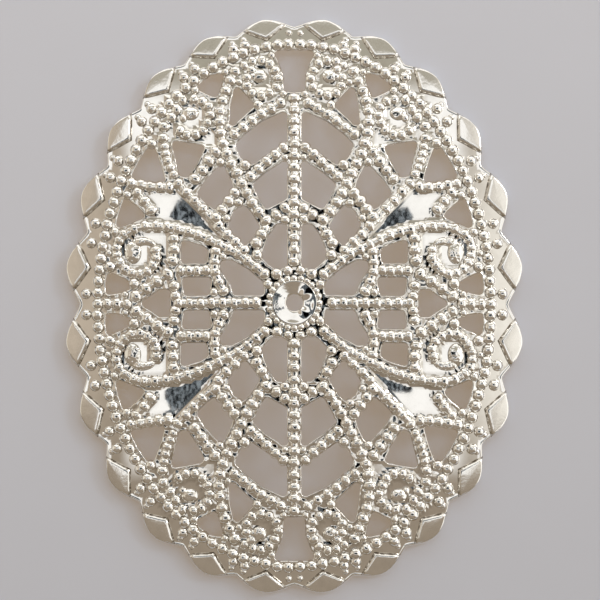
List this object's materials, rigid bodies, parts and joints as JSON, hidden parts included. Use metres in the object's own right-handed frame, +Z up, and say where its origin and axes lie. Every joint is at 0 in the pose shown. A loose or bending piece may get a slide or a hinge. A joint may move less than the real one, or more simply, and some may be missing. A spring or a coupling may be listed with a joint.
{
  "type": "oval filigree charm",
  "caption": "Domed oval filigree charm with a scalloped rim, pierced lattice, raised wires, side scrolls and a centre hole in a dished cup.",
  "frame": {"origin": "on the surface it lies on, under the middle of the oval", "axes": "+Z up through the dome, +Y along the oval's length, +X across it"},
  "size_m": [0.0358, 0.045, 0.0037],
  "materials": {
    "silver_plate": "bright silver plating over stamped brass, polished, faintly warm"
  },
  "bodies": {
    "root": {"filigree": "silver_plate"}
  },
  "joints": []
}
